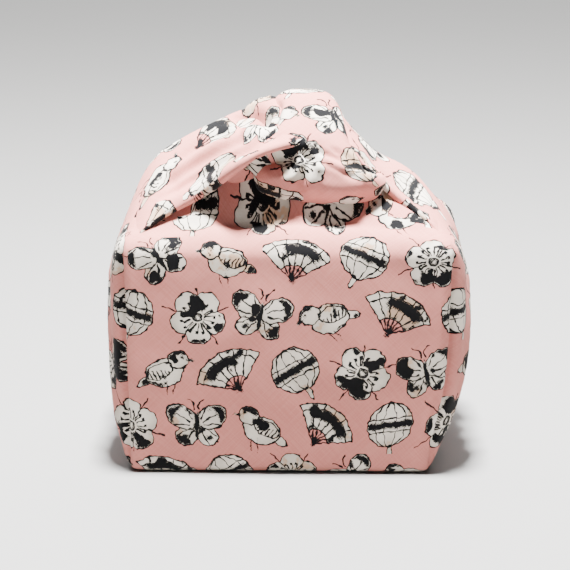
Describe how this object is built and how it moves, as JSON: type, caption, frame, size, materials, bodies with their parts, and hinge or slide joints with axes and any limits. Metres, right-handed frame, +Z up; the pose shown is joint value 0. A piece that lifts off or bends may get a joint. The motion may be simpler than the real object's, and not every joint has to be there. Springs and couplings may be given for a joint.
{
  "type": "furoshiki wrap",
  "caption": "Square cotton wrapping cloth folded round a box shape and tied in a single flat knot on top, hollow, with a slot mouth behind the knot.",
  "frame": {"origin": "middle of the flat base, where the bundle stands", "axes": "+Z up, -Y out of the smooth front panel, +X to the right seen from the front, along the bands"},
  "size_m": [0.1851, 0.1168, 0.1853],
  "materials": {
    "printed_cotton": "matte plain-weave cotton, pink with an ink-drawn print in white, black, grey and tan"
  },
  "bodies": {
    "root": {"furoshiki_cloth": "printed_cotton"}
  },
  "joints": []
}
